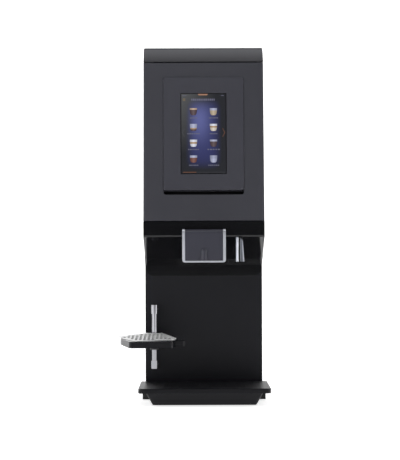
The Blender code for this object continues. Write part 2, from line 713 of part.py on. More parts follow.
def tray_parts(mats):
    """Slide-out drip tray and the slotted cup plate that lies in it."""
    pivot = pivot_at("drip_tray_pivot", (0, TRAY_FRONT, DECK_UNDER))
    half = TRAY_HALF_WIDTH
    deck = rounded_outline([(-half, -GAP), (-half, TRAY_FRONT), (half, TRAY_FRONT), (half, -GAP)],
                           [4, 16, 16, 4], 4)
    slab = prism(deck, "z", DECK_UNDER, TRAY_TOP)
    bevel_where(slab, lambda co: co.z > TRAY_TOP - 0.1 and co.y < -1, 2.0)
    tray = piece("drip_tray", slab, mats["tray"], pivot)
    rings = [[(px, py, pz) for px, py in rounded_rectangle((-hx, front), (hx, back), 6)]
             for hx, front, back, pz in ((113.0, -172, -40, 1.0), (127.0, -190, -34, DECK_UNDER + 1))]
    add(tray, loft(rings))
    basin = [[(px, py, pz) for px, py in rounded_rectangle((-hx, front), (hx, back), 4)]
             for hx, front, back, pz in ((95.0, -162, -46, 3.5), (98.0, -166, -37, TRAY_TOP + 5))]
    cut(tray, loft(basin))
    cut(tray, box((-PLATE_HALF_WIDTH - GAP, PLATE_FRONT - GAP, TRAY_TOP - 2.6),
                  (PLATE_HALF_WIDTH + GAP, PLATE_BACK + GAP, TRAY_TOP + 5)))

    plate = piece("cup_plate", box((-PLATE_HALF_WIDTH, PLATE_FRONT, TRAY_TOP - 2.3),
                                   (PLATE_HALF_WIDTH, PLATE_BACK, TRAY_TOP - 0.2)), mats["tray"], pivot)
    for row in range(6):
        slot_y = PLATE_FRONT + 21 + row * 20.0
        for side in (-1, 1):
            low = (side * 49 - 40, slot_y - 2.2)
            high = (side * 49 + 40, slot_y + 2.2)
            cut(plate, prism(rounded_rectangle(low, high, 2.1, 2), "z", TRAY_TOP - 10, TRAY_TOP + 10))


# Ingredient side

def canister(side, mats):
    """Open-topped canister with its outlet chute, its lid, its auger and the auger's motor."""
    x = CANISTER_X[side]
    half, wall = CANISTER_HALF_WIDTH, 2.0
    low = DECK_TOP + GAP
    lift = pivot_at(f"canister_pivot_{side}", (x, CANISTER_BACK, low))
    block = box((x - half, CANISTER_FRONT, low), (x + half, CANISTER_BACK, CANISTER_TOP))
    body = piece(f"canister_{side}", block, mats["clear"], lift)
    add(body, turned("y", (x, AUGER_Z), [(15, -64), (15, CANISTER_FRONT + 1)], 16))
    cut(body, box((x - half + wall, CANISTER_FRONT + wall, low + wall),
                  (x + half - wall, CANISTER_BACK - wall, CANISTER_TOP + 5)))
    cut(body, turned("y", (x, AUGER_Z), [(12.8, -62), (12.8, CANISTER_FRONT + 5)], 16))
    cut(body, box((x - 9, -60, AUGER_Z - 20), (x + 9, -44, AUGER_Z)))
    cut(body, turned("y", (x, AUGER_Z), [(4.0, CANISTER_BACK - 8), (4.0, CANISTER_BACK + 8)], 12))

    lid_pivot = pivot_at(f"canister_lid_pivot_{side}", (x, CANISTER_BACK, CANISTER_TOP))
    slab = box((x - half, CANISTER_FRONT, CANISTER_TOP + GAP), (x + half, CANISTER_BACK, CANISTER_TOP + 3))
    lid = piece(f"canister_lid_{side}", slab, mats["plastic"], lid_pivot)
    rim = wall + GAP
    add(lid, box((x - half + rim, CANISTER_FRONT + rim, CANISTER_TOP - 4),
                 (x + half - rim, CANISTER_BACK - rim, CANISTER_TOP + 1)))
    auger(side, x, mats)
    auger_motor(side, x, mats)


def auger(side, x, mats):
    """Two-start dosing screw: a flat section twisted along its length, with a coupling disc behind."""
    pivot = pivot_at(f"auger_pivot_{side}", (x, CANISTER_BACK, AUGER_Z))
    start, end, turns, rings_count = -60.0, CANISTER_BACK - 4, 5.0, 44
    rings = []
    for i in range(rings_count + 1):
        y = start + (end - start) * i / rings_count
        twist = 2 * math.pi * turns * i / rings_count
        points = []
        for a, b in ((11, 0), (8, 2.2), (0, 3.0), (-8, 2.2), (-11, 0), (-8, -2.2), (0, -3.0), (8, -2.2)):
            points.append((x + a * math.cos(twist) - b * math.sin(twist), y,
                           AUGER_Z + a * math.sin(twist) + b * math.cos(twist)))
        rings.append(points)
    screw = piece(f"auger_{side}", loft(rings), mats["plastic"], pivot)
    shaft = [(2.6, end - 3), (2.6, CANISTER_BACK + 1.5), (8, CANISTER_BACK + 1.5), (8, CANISTER_BACK + 4.2)]
    add(screw, turned("y", (x, AUGER_Z), shaft, 12))


def auger_motor(side, x, mats):
    """Geared motor behind the bulkhead, its output disc in front of it."""
    face = BULKHEAD + 2 + GAP
    gearbox = box((x - 20, face, AUGER_Z - 20), (x + 20, face + 26, AUGER_Z + 20))
    motor = piece(f"auger_motor_{side}", gearbox, mats["metal"])
    add(motor, turned("y", (x, AUGER_Z), [(15, face + 20), (15, face + 50)], 16))
    disc = [(8, CANISTER_BACK + 4.6), (8, BULKHEAD - 2.4), (3.5, BULKHEAD - 2.4), (3.5, face + 2)]
    add(motor, turned("y", (x, AUGER_Z), disc, 12))


# Mixing side

def bowl_ring(half_x, front, back, z, radius):
    """Rounded rectangle ring of the mixing bowl."""
    return [(x, y, z) for x, y in rounded_rectangle((-half_x, front), (half_x, back), radius, 2)]


def mixing_parts(mats):
    """Wide funnel with its whipping chamber, the impeller, its motor and the hose to the outlet."""
    wall = 2.0
    mouth = (BOWL_HALF_WIDTH, -80.0, -28.0)
    spigot = (7.0, BOWL_Y - 7, BOWL_Y + 7)
    sections = ((*mouth, 508.0, 8.0), (*mouth, 500.0, 8.0), (24.0, -76.0, -30.0, 470.0, 8.0),
                (20.0, -74.0, -31.0, 424.0, 8.0), (*spigot, 416.0, 6.9), (*spigot, 403.0, 6.9))
    outer = [bowl_ring(*section) for section in sections]
    inner = []
    for i, (half_x, front, back, z, radius) in enumerate(sections):
        floor = wall if 3 <= i <= 4 else 0
        inner.append(bowl_ring(half_x - wall, front + wall, back - wall, z + floor, radius - wall))
    bowl = piece("mixing_bowl", loft(outer + inner[::-1], closed=True), mats["clear"])
    cut(bowl, turned("y", (0, WHIPPER_Z), [(3.2, -40), (3.2, -20)], 12))

    pivot = pivot_at("impeller_pivot", (0, LOWER_PLATE, WHIPPER_Z))
    blades = []
    for i in range(18):
        radius = 14.0 if i % 3 == 0 else 6.0
        angle = 2 * math.pi * i / 18
        blades.append((radius * math.cos(angle), WHIPPER_Z + radius * math.sin(angle)))
    impeller = piece("whipper_impeller", prism(blades, "y", -62, -50), mats["plastic"], pivot)
    add(impeller, turned("y", (0, WHIPPER_Z), [(2.6, -55), (2.6, LOWER_PLATE + 2.2)], 12))

    motor_face = LOWER_PLATE + 2 + 0.6
    can = [(19, motor_face), (19, motor_face + 46), (7, motor_face + 46), (7, motor_face + 52)]
    motor = piece("whipper_motor", turned("y", (0, WHIPPER_Z), can, 20), mats["metal"])
    add(motor, box((-26, motor_face, WHIPPER_Z - 6), (26, motor_face + 2, WHIPPER_Z + 6)))

    under = underside_z(OUTLET_Y)
    route = smooth_route([(0, BOWL_Y, 402.7), (0, BOWL_Y, 396), (0, BOWL_Y - 10, 385), (0, -88, 379),
                          (0, OUTLET_Y + 7, 380), (0, OUTLET_Y, 374), (0, OUTLET_Y, under + 14.8)])
    piece("mixer_hose", tube(route, 4.4), mats["rubber"])


# Water and power

def boiler_parts(mats):
    """Boiler tank, lid, heating element, valves and the hot-water hose."""
    wall = 2.0
    inner = BOILER_RADIUS - wall
    tank = [(BOILER_RADIUS, BOILER_LOW), (BOILER_RADIUS, BOILER_HIGH), (inner, BOILER_HIGH),
            (inner, BOILER_LOW + wall)]
    piece("boiler_tank", turned("z", BOILER_CENTRE, tank, 32), mats["steel"])
    lid_low = BOILER_HIGH + GAP
    cap = [(BOILER_RADIUS + 5, lid_low), (BOILER_RADIUS + 5, lid_low + 5), (30, lid_low + 9)]
    lid = piece("boiler_lid", turned("z", BOILER_CENTRE, cap, 32), mats["plastic"])
    leg_x, leg_y = 20.0, BOILER_CENTRE[1] + 48
    for side in (-1, 1):
        cut(lid, turned("z", (side * leg_x, leg_y), [(4.5, lid_low - 5), (4.5, lid_low + 20)], 12))
    bottom = 85.0
    loop = [Vector((leg_x * math.cos(math.radians(a)), leg_y, bottom + leg_x * math.sin(math.radians(a))))
            for a in range(180, 361, 22)]
    loop[-1] = Vector((leg_x, leg_y, bottom))
    route = [Vector((-leg_x, leg_y, lid_low + 22))] + loop + [Vector((leg_x, leg_y, lid_low + 22))]
    piece("heating_element", tube(route, 4.0), mats["chrome"])
    valve_parts(mats)


def valve_parts(mats):
    """Outlet valve block on the boiler, the water inlet valve and the hot-water hose."""
    front = BOILER_CENTRE[1] - BOILER_RADIUS - 36
    block = piece("valve_block", box((-50, front, 235), (50, front + 30, 252)), mats["brass"])
    for x in (-34, 0, 34):
        add(block, box((x - 12, front + 3, 250), (x + 12, front + 27, 280)))
    for x in (-34, 34):
        add(block, turned("y", (x, 243), [(5, front + 28), (5, front + 41)], 12))

    x, z = WATER_INLET
    inlet = piece("inlet_valve", box((x - 20, 250, z - 18), (x + 20, 285, z + 18)), mats["plastic"])
    add(inlet, turned("y", (x, z), [(12, 280), (12, 290), (13.2, 290), (13.2, 315)], 16))
    add(inlet, box((x - 12, 258, z + 15), (x + 12, 282, z + 42)))
    cut(inlet, turned("y", (x, z), [(9, 295), (9, 320)], 12))

    under = underside_z(OUTLET_Y)
    out = WATER_OUTLET_X
    route = smooth_route([(30, front - 1.2, 243), (30, front - 12, 243), (38, 16, 262), (52, 6, 320),
                          (70, -30, 368), (out, -80, 384), (out, OUTLET_Y + 8, 381),
                          (out, OUTLET_Y, 376), (out, OUTLET_Y, under + 14.8)])
    piece("hot_water_hose", tube(route, 4.0), mats["rubber"])


def rear_parts(mats):
    """Steam fan, control board, mains inlet and its rocker switch."""
    x, z = FAN_CENTRE
    front, back = 270.0, BACK - 2.3
    frame = piece("fan_housing", box((x - 40, front, z - 40), (x + 40, back, z + 40)), mats["plastic"])
    cut(frame, turned("y", (x, z), [(FAN_RADIUS, front - 5), (FAN_RADIUS, back + 5)], 24))
    add(frame, box((x - 2.5, back - 2.5, z - 39), (x + 2.5, back, z + 39)))

    pivot = pivot_at("fan_pivot", (x, front, z))
    blades = []
    for i in range(30):
        radius = FAN_RADIUS - 2 if i % 6 < 3 else 13.0
        angle = 2 * math.pi * i / 30
        blades.append((x + radius * math.cos(angle), z + radius * math.sin(angle)))
    rotor = piece("fan_rotor", prism(blades, "y", front + 6, back - 6), mats["plastic"], pivot)
    add(rotor, turned("y", (x, z), [(14, front + 3), (14, back - 4)], 16))

    inside = -(HALF_WIDTH - SHEET - GAP)
    board = piece("control_board", box((inside, 150, 360), (inside + 2, 275, 500)), mats["board"])
    for y, z_low, depth in ((165, 380, 14), (205, 380, 22), (165, 440, 10), (225, 440, 28)):
        add(board, box((inside + 1, y, z_low), (inside + depth, y + 30, z_low + 40)))
    mains_parts(mats)


def mains_parts(mats):
    """Mains inlet with three pins and the rocker switch beside it."""
    x, y, z = SWITCH_CENTRE
    inlet = piece("mains_inlet", box((53, 268, 58), (107, BACK, 92)), mats["plastic"])
    add(inlet, prism(rounded_rectangle((49, 54), (111, 96), 3), "y", BACK - GAP, BACK + 2))
    cut(inlet, box((55.5, 282, 63), (80.5, BACK + 6, 87)))
    cut(inlet, box((x - 8, 284, z - 12.5), (x + 8, BACK + 6, z + 12.5)))
    for pin_x, pin_z in ((61, 72), (75, 72), (68, 79)):
        add(inlet, box((pin_x - 1, 281, pin_z - 2), (pin_x + 1, 294, pin_z + 2)))

    pivot = pivot_at("rocker_pivot", SWITCH_CENTRE)
    shape = [(-8, -5), (-8, 5), (2.5, 10.5), (5, 0), (2.5, -10.5)]
    tilt = math.radians(8)
    outline = [(y + a * math.cos(tilt) - b * math.sin(tilt), z + a * math.sin(tilt) + b * math.cos(tilt))
               for a, b in shape]
    piece("mains_switch", prism(outline, "x", x - 7.4, x + 7.4), mats["rubber"], pivot)


def build():
    """Clear the scene and make every sub-part."""
    for obj in list(bpy.data.objects):
        bpy.data.objects.remove(obj)
    mats = {
        "door": material("door_grey", (0.055, 0.056, 0.065), 0.5),
        "panel": material("panel_grey", (0.060, 0.061, 0.072), 0.45),
        "gloss": material("gloss_black", (0.008, 0.008, 0.010), 0.08),
        "column": material("column_black", (0.016, 0.016, 0.020), 0.4),
        "side": material("side_black", (0.020, 0.020, 0.023), 0.45),
        "tray": material("tray_black", (0.018, 0.018, 0.021), 0.4),
        "cover": material("cover_grey", (0.045, 0.045, 0.058), 0.4),
        "plastic": material("black_plastic", (0.020, 0.020, 0.022), 0.5),
        "rubber": material("black_rubber", (0.012, 0.012, 0.012), 0.8),
        "glass": material("screen_glass", (0.02, 0.02, 0.05), 0.05),
        "chrome": material("chrome", (0.70, 0.70, 0.72), 0.12, 1.0),
        "brushed": material("brushed_steel", (0.60, 0.60, 0.60), 0.3, 1.0),
        "steel": material("sheet_steel", (0.50, 0.50, 0.50), 0.4, 1.0),
        "metal": material("motor_metal", (0.35, 0.35, 0.36), 0.5, 1.0),
        "brass": material("brass", (0.62, 0.47, 0.20), 0.35, 1.0),
        "clear": material("canister_plastic", (0.55, 0.56, 0.58), 0.35),
        "board": material("board_green", (0.02, 0.11, 0.05), 0.5),
    }
    base_parts(mats)
    cabinet_parts(mats)
    inner_chassis(mats)
    nozzle_housing(mats)
    outlet_cover(mats)
    outlets(mats)
    door_parts(mats)
    lock_parts(mats)
    shelf_parts(mats)
    tray_parts(mats)
    for side in CANISTER_X:
        canister(side, mats)
    mixing_parts(mats)
    boiler_parts(mats)
    rear_parts(mats)


build()
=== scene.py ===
"""Looks of the hot coffee vending machine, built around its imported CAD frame.

Everything is in metres in the frame's own axes: X right, -Y to the user, Z up.
"""

import json
import math

import bmesh
import bpy
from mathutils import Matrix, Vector


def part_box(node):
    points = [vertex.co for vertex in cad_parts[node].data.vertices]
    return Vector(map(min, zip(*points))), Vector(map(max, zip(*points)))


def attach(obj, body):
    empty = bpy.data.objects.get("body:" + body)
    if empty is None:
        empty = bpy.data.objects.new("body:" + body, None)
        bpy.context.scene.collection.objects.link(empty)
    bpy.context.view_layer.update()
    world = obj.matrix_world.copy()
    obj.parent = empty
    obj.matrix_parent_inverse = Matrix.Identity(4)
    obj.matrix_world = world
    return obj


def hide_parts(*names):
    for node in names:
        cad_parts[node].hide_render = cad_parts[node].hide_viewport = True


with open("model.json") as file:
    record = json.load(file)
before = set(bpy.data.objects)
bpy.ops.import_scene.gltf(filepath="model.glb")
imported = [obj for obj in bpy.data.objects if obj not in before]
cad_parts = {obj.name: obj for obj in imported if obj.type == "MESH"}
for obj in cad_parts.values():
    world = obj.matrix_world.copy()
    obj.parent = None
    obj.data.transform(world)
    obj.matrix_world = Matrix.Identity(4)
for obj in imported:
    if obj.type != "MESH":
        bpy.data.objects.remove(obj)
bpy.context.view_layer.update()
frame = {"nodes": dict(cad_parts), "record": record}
nodes = frame["nodes"]

MM = 0.001


# Node material helpers

class Paint:
    """One Principled material and short calls that add procedural detail to it."""

    def __init__(self, name, color, roughness, metallic=0.0, specular=0.5):
        self.mat = bpy.data.materials.new(name)
        self.mat.use_nodes = True
        self.tree = self.mat.node_tree
        self.shader = self.tree.nodes["Principled BSDF"]
        self.set("Base Color", (*color, 1.0))
        self.set("Roughness", roughness)
        self.set("Metallic", metallic)
        self.set("Specular IOR Level", specular)
        self.color = color
        self.roughness = roughness
        self.coords = self.tree.nodes.new("ShaderNodeTexCoord")
        self.height = None

    def set(self, socket, value):
        """Constant value on the shader's own socket."""
        self.shader.inputs[socket].default_value = value

    def node(self, kind, **inputs):
        """New node with some of its inputs set or linked."""
        made = self.tree.nodes.new(kind)
        for key, value in inputs.items():
            self.plug(value, made.inputs[key.replace("_", " ")])
        return made

    def plug(self, value, socket):
        """Link an output, or set a constant."""
        if isinstance(value, bpy.types.NodeSocket):
            self.tree.links.new(value, socket)
        else:
            socket.default_value = value

    def stretched(self, scale):
        """Object coordinates scaled per axis."""
        mapping = self.node("ShaderNodeMapping", Vector=self.coords.outputs["Object"])
        mapping.inputs["Scale"].default_value = scale
        return mapping.outputs["Vector"]

    def noise(self, scale, detail=3.0, stretch=(1, 1, 1)):
        """Noise value, scale in cycles per metre."""
        made = self.node("ShaderNodeTexNoise", Vector=self.stretched(stretch), Scale=scale, Detail=detail)
        return made.outputs["Fac"]

    def remap(self, value, low, high, start=0.3, end=0.7):
        """Value carried from start..end to low..high."""
        made = self.node("ShaderNodeMapRange", Value=value)
        for key, number in (("From Min", start), ("From Max", end), ("To Min", low), ("To Max", high)):
            made.inputs[key].default_value = number
        return made.outputs["Result"]

    def axis(self, letter):
        """One of the object coordinates."""
        split = self.node("ShaderNodeSeparateXYZ", Vector=self.coords.outputs["Object"])
        return split.outputs[letter]

    def product(self, first, second):
        """Two values multiplied."""
        made = self.node("ShaderNodeMath")
        made.operation = "MULTIPLY"
        self.plug(first, made.inputs[0])
        self.plug(second, made.inputs[1])
        return made.outputs[0]

    def tint(self, value, light, dark):
        """Base colour mixed between two shades by a value."""
        ramp = self.node("ShaderNodeMix")
        ramp.data_type = "RGBA"
        self.plug(value, ramp.inputs[0])
        ramp.inputs[6].default_value = (*dark, 1.0)
        ramp.inputs[7].default_value = (*light, 1.0)
        self.plug(ramp.outputs[2], self.shader.inputs["Base Color"])

    def mottle(self, scale=14.0, amount=0.12, stretch=(1, 1, 1)):
        """Slow change of shade over the surface."""
        factor = self.remap(self.noise(scale, 4.0, stretch), 0.0, 1.0)
        self.tint(factor, [c * (1 + amount) for c in self.color], [c * (1 - amount) for c in self.color])

    def smudge(self, scale=9.0, amount=0.08, stretch=(1, 1, 1)):
        """Roughness that varies as handled surfaces do."""
        low, high = max(0.02, self.roughness - amount), self.roughness + amount
        self.plug(self.remap(self.noise(scale, 5.0, stretch), low, high), self.shader.inputs["Roughness"])

    def grain(self, scale, depth, stretch=(1, 1, 1), detail=2.0):
        """Fine bump; depth in metres. Calls add up."""
        bump = self.node("ShaderNodeBump", Height=self.noise(scale, detail, stretch), Distance=depth)
        bump.inputs["Strength"].default_value = 1.0
        if self.height is not None:
            self.plug(self.height, bump.inputs["Normal"])
        self.height = bump.outputs["Normal"]
        self.plug(self.height, self.shader.inputs["Normal"])


# Materials

def moulded(name, color, roughness, grain=0.00004, specular=0.35):
    """Satin moulded or painted surface with a fine orange-peel grain."""
    paint = Paint(name, color, roughness, specular=specular)
    paint.mottle(6.0, 0.06)
    paint.smudge(7.0, 0.04)
    paint.grain(1500.0, grain)
    return paint.mat


def glossy_black(name):
    """Polished black acrylic."""
    paint = Paint(name, (0.0055, 0.0055, 0.0065), 0.08, specular=0.32)
    paint.set("Coat Weight", 0.3)
    paint.set("Coat Roughness", 0.03)
    paint.smudge(11.0, 0.02)
    paint.mottle(8.0, 0.1)
    paint.grain(30.0, 0.00002, detail=1.0)
    return paint.mat


def powder_coat(name, color):
    """Fine textured powder coat on sheet steel."""
    paint = Paint(name, color, 0.42, specular=0.22)
    paint.mottle(5.0, 0.05)
    paint.smudge(8.0, 0.02)
    paint.grain(900.0, 0.00008)
    paint.grain(2600.0, 0.00003)
    return paint.mat


def polished_metal(name, color=(0.62, 0.63, 0.68), roughness=0.1, marks=0.04):
    """Bright plated metal with faint wiping marks."""
    paint = Paint(name, color, roughness, 1.0)
    paint.smudge(25.0, marks)
    paint.mottle(20.0, 0.03)
    return paint.mat


def brushed_metal(name, color, roughness, stretch):
    """Metal with fine parallel scratches across the stretched axis."""
    paint = Paint(name, color, roughness, 1.0)
    paint.mottle(30.0, 0.08, stretch)
    paint.smudge(40.0, 0.08, stretch)
    paint.grain(400.0, 0.00003, stretch, 4.0)
    paint.set("Specular Tint", (0.9, 0.9, 0.9, 1.0))
    return paint.mat


def rubber(name):
    """Matt black rubber with dusty patches."""
    paint = Paint(name, (0.012, 0.012, 0.012), 0.8)
    paint.mottle(30.0, 0.25)
    paint.smudge(20.0, 0.08)
    paint.grain(1200.0, 0.00008)
    return paint.mat


def frosted_plastic(name):
    """Milky translucent canister plastic."""
    paint = Paint(name, (0.62, 0.64, 0.66), 0.42)
    paint.set("Transmission Weight", 0.1)
    paint.mottle(9.0, 0.04)
    paint.smudge(12.0, 0.04)
    paint.grain(700.0, 0.00003)
    return paint.mat


def circuit_green(name):
    """Solder mask with faint tracks."""
    paint = Paint(name, (0.02, 0.11, 0.05), 0.45)
    tracks = paint.node("ShaderNodeTexBrick", Vector=paint.stretched((1, 1, 1)), Scale=60.0)
    factor = paint.remap(tracks.outputs["Fac"], 0.0, 1.0, 0.0, 1.0)
    paint.tint(factor, (0.05, 0.20, 0.09), (0.02, 0.10, 0.045))
    paint.smudge(40.0, 0.05)
    paint.grain(500.0, 0.00005)
    return paint.mat


def cover_painted_light(name):
    """Satin cover with painted light and shade: a painted highlight just under its top edge that fades darker
    down to the seam, and painted shade all over its top.
    """
    paint = Paint(name, (0.050, 0.050, 0.056), 0.5, specular=0.35)
    low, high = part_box("top_cover")
    lightest, top_starts = high.z - 5 * MM, high.z - 3.5 * MM
    height = paint.axis("Z")
    fade = paint.remap(height, 0.0, 1.0, low.z, lightest)
    edge = paint.remap(height, 1.0, 0.0, lightest, top_starts)
    # Painted highlight under the top edge, fading down to the seam, and painted shade over the top
    paint.tint(paint.product(fade, edge), (0.155, 0.155, 0.166), (0.062, 0.062, 0.068))
    paint.smudge(7.0, 0.04)
    paint.grain(1500.0, 0.00004)
    return paint.mat


materials = {
    "door_paint": moulded("door_satin", (0.044, 0.044, 0.054), 0.48),
    "panel_plastic": moulded("panel_satin", (0.048, 0.048, 0.060), 0.45),
    "gloss_black": glossy_black("acrylic_black"),
    "column_paint": powder_coat("column_coat", (0.009, 0.009, 0.012)),
    "tray_plastic": moulded("tray_satin", (0.0085, 0.0085, 0.0105), 0.42, 0.00006, specular=0.15),
    "cover_plastic": moulded("cover_satin", (0.040, 0.040, 0.055), 0.40),
    "black_plastic": moulded("plastic_black", (0.006, 0.006, 0.008), 0.34, specular=0.42),
    "black_rubber": rubber("rubber_black"),
    "screen_glass": glossy_black("screen_front"),
    "chrome": polished_metal("plated_bright"),
    "grille_steel": brushed_metal("grille_brushed", (0.93, 0.93, 0.93), 0.58, (1, 12, 1)),
    "sheet_steel": brushed_metal("sheet_zinc", (0.52, 0.53, 0.54), 0.38, (1, 1, 10)),
    "motor_metal": brushed_metal("motor_zinc", (0.42, 0.42, 0.43), 0.42, (1, 8, 1)),
    "valve_brass": brushed_metal("valve_brass_satin", (0.66, 0.48, 0.20), 0.32, (6, 1, 1)),
    "clear_plastic": frosted_plastic("canister_frosted"),
    "circuit_board": circuit_green("board_mask"),
}
rod_steel = polished_metal("rod_steel", (0.30, 0.30, 0.32), 0.07, 0.01)
shelf_black = moulded("shelf_black", (0.006, 0.006, 0.008), 0.15, 0.00002, specular=0.16)
satin_plated = polished_metal("plated_satin", (0.74, 0.76, 0.82), 0.38)
# Darker copy of the plating: painted shade for the outlet tongue's face
painted_shade_plating = polished_metal("plated_shaded", (0.20, 0.21, 0.24), 0.34)
OWN_MATERIAL = {
    "spout_trim": satin_plated,
    "top_cover": cover_painted_light("cover_top_painted_light"),
    "shelf_rod": rod_steel,
    "shelf_body": shelf_black,
    "lock_barrel": rod_steel,
    "rod_bracket_upper": rod_steel,
    "rod_bracket_lower": rod_steel,
}


# CAD nodes: soft edges and finished materials

SMOOTH_ANGLE = math.radians(35)
BEVEL_ANGLE = math.radians(30)
WELD_DISTANCE = 0.00002
# Widths of the rounded edges in metres: a node not named here has the usual one, and a round node has none
USUAL_EDGE = 0.0004
EDGE = {
    "door_shell": 0.0009,
    "display_panel": 0.0020,
    "nozzle_housing": 0.0010,
    "drip_tray": 0.0010,
    "spout_trim": 0.0022,
    "spout_cover": 0.0025,
    "front_foot_rail": 0.0015,
    "rear_foot_rail": 0.0015,
    "side_panel_left": 0.0005,
    "side_panel_right": 0.0005,
}
ROUND_NODES = (
    "shelf_rod", "rod_bracket_upper", "rod_bracket_lower", "shelf_clamp_screw", "lock_barrel",
    "boiler_tank", "boiler_lid", "heating_element", "hot_water_hose", "mixer_hose",
    "whipper_motor", "whipper_impeller", "auger_motor_left", "auger_motor_middle", "auger_motor_right",
    "auger_left", "auger_middle", "auger_right",
)


def smooth_by_angle():
    """Node group that shades a mesh smooth except over edges sharper than the angle."""
    group = bpy.data.node_groups.new("smooth_by_angle", "GeometryNodeTree")
    group.interface.new_socket("Geometry", in_out="INPUT", socket_type="NodeSocketGeometry")
    group.interface.new_socket("Geometry", in_out="OUTPUT", socket_type="NodeSocketGeometry")
    made = {kind: group.nodes.new(kind) for kind in (
        "NodeGroupInput", "GeometryNodeInputMeshEdgeAngle", "FunctionNodeCompare", "NodeGroupOutput")}
    faces = group.nodes.new("GeometryNodeSetShadeSmooth")
    edges = group.nodes.new("GeometryNodeSetShadeSmooth")
    edges.domain = "EDGE"
    compare = made["FunctionNodeCompare"]
    compare.operation = "LESS_EQUAL"
    compare.inputs[1].default_value = SMOOTH_ANGLE
    link = group.links.new
    link(made["NodeGroupInput"].outputs[0], faces.inputs["Geometry"])
    link(faces.outputs[0], edges.inputs["Geometry"])
    link(made["GeometryNodeInputMeshEdgeAngle"].outputs["Unsigned Angle"], compare.inputs[0])
    link(compare.outputs[0], edges.inputs["Shade Smooth"])
    link(edges.outputs[0], made["NodeGroupOutput"].inputs[0])
    return group


smoothing = smooth_by_angle()


def soften(obj, width):
    """Welded corners, rounded edges and smooth shading as modifiers; a round part has no width."""
    weld = obj.modifiers.new("weld", "WELD")
    weld.merge_threshold = WELD_DISTANCE
    if width > 0:
        bevel = obj.modifiers.new("edges", "BEVEL")
        bevel.width = width
        bevel.segments = 2
        bevel.limit_method = "ANGLE"
        bevel.angle_limit = BEVEL_ANGLE
        bevel.use_clamp_overlap = True
        bevel.miter_outer = "MITER_ARC"
    shade = obj.modifiers.new("shade", "NODES")
    shade.node_group = smoothing
    if width > 0:
        flats = obj.modifiers.new("flats", "WEIGHTED_NORMAL")
        flats.keep_sharp = True
        flats.weight = 100


def finish_nodes():
    """Every CAD node gets its slot's material and softened edges."""
    slots = {part["node"]: part["material_slot"] for part in frame["record"]["subparts"]}
    for name, obj in nodes.items():
        obj.data.materials.clear()
        obj.data.materials.append(OWN_MATERIAL.get(name, materials[slots[name]]))
        normals = obj.data.attributes.get("custom_normal")
        if normals is not None:
            obj.data.attributes.remove(normals)
        soften(obj, 0.0 if name in ROUND_NODES else EDGE.get(name, USUAL_EDGE))


finish_nodes()


# Mesh pieces

def flat_plate(name, outline, to_world, low, high, material, body):
    """Flat plate drawn as (a, b) outline points, between two depths."""
    bm = bmesh.new()
    rings = [[bm.verts.new(to_world(a, b, depth)) for a, b in outline] for depth in (low, high)]
    bm.faces.new(rings[0][::-1])
    bm.faces.new(rings[1])
    count = len(outline)
    for i in range(count):
        j = (i + 1) % count
        bm.faces.new((rings[0][i], rings[0][j], rings[1][j], rings[1][i]))
    bmesh.ops.recalc_face_normals(bm, faces=bm.faces)
    soften(mesh_piece(name, bm, material, body), 0.0)


def mesh_piece(name, bm, material, body):
    """Object from a bmesh that rides on a body."""
    mesh = bpy.data.meshes.new(name)
    bm.to_mesh(mesh)
    bm.free()
    mesh.materials.append(material)
    obj = bpy.data.objects.new(name, mesh)
    bpy.context.scene.collection.objects.link(obj)
    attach(obj, body)
    return obj


# Touch screen picture

# The glass leans back with the door's face, and its box gives its length along the slope
GLASS_LOW, GLASS_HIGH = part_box("touch_screen")
FACE_LEAN = math.radians(7.44)
RISE = Vector((0, math.sin(FACE_LEAN), math.cos(FACE_LEAN)))
OUT = Vector((0, -math.cos(FACE_LEAN), math.sin(FACE_LEAN)))
GLASS_THICK = 4.1 * MM
GLASS_HALF = GLASS_HIGH.x
GLASS_LONG = (GLASS_HIGH.z - GLASS_LOW.z - GLASS_THICK * math.sin(FACE_LEAN)) / math.cos(FACE_LEAN)
GLASS_FOOT = Vector((0, GLASS_LOW.y, GLASS_LOW.z + GLASS_THICK * math.sin(FACE_LEAN)))


def on_glass(across, down, lift):
    """Point on the screen: distance right of its middle, below its top edge and in front of it."""
    return GLASS_FOOT + Vector((across, 0, 0)) + RISE * (GLASS_LONG - down) + OUT * lift


# Heights of the picture's layers in front of the glass, in mm
SCREEN_LIFT, MARK_LIFT, ICON_LIFT = 0.03, 0.06, 0.10


class Picture:
    """Flat coloured patches on the screen, collected in one mesh."""

    def __init__(self):
        self.bm = bmesh.new()
        self.tint = self.bm.loops.layers.float_color.new("Tint")

    def patch(self, corners, colors, lift):
        """One polygon, corners in mm, with one colour or one per corner."""
        face = self.bm.faces.new([self.bm.verts.new(on_glass(a * MM, b * MM, lift * MM)) for a, b in corners])
        if not isinstance(colors[0], (tuple, list)):
            colors = [colors] * len(corners)
        for loop, color in zip(face.loops, colors):
            loop[self.tint] = (*color, 1.0)

    def bar(self, across, down, width, height, color):
        """Upright rectangle round a middle point."""
        left, right = across - width / 2, across + width / 2
        top, low = down - height / 2, down + height / 2
        self.patch([(left, low), (right, low), (right, top), (left, top)], color, MARK_LIFT)

    def dashes(self, across, down, width, height, count, color):
        """Row of short bars, of three lengths, that stands for a line of writing."""
        pitch = width / count
        for i in range(count):
            middle = across - width / 2 + pitch * (i + 0.5)
            self.bar(middle, down, pitch * (0.55 + 0.2 * ((i * 5) % 3) / 2), height, color)


